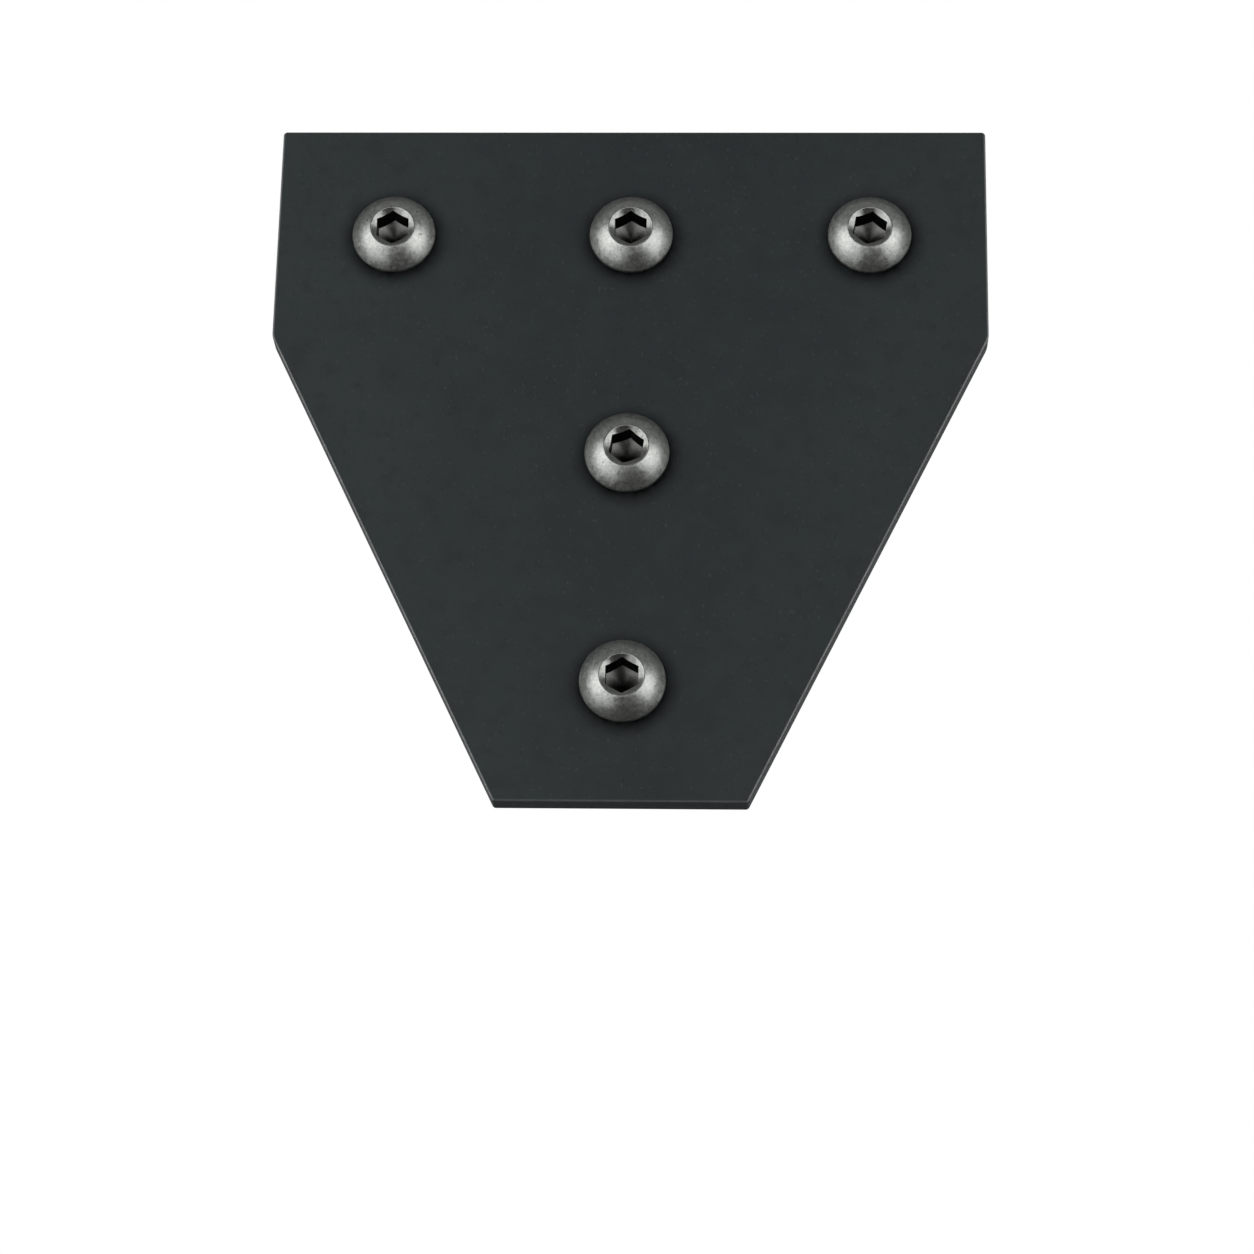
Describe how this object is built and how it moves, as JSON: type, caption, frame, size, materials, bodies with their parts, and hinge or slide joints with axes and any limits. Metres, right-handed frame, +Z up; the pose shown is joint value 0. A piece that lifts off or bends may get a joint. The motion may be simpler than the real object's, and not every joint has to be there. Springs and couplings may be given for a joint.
{
  "type": "t corner plate",
  "caption": "Flat T-shaped joining plate with a wide head tapering to a narrow foot, held on by button head socket screws that clamp two crossing bars flush.",
  "frame": {"origin": "on the plate's back face, on the axis of the middle screw of the row, where the two arms of the T cross", "axes": "+X along the row of three screws, to the right seen from the front; +Y out of the back face, the way the shanks point; +Z up, from the foot to the row"},
  "size_m": [0.0896, 0.0145, 0.0901],
  "materials": {
    "plate": "black anodised, satin",
    "screws": "plain steel, satin"
  },
  "bodies": {
    "root": {"t_plate": "plate", "button_head_screws": "screws"}
  },
  "joints": []
}
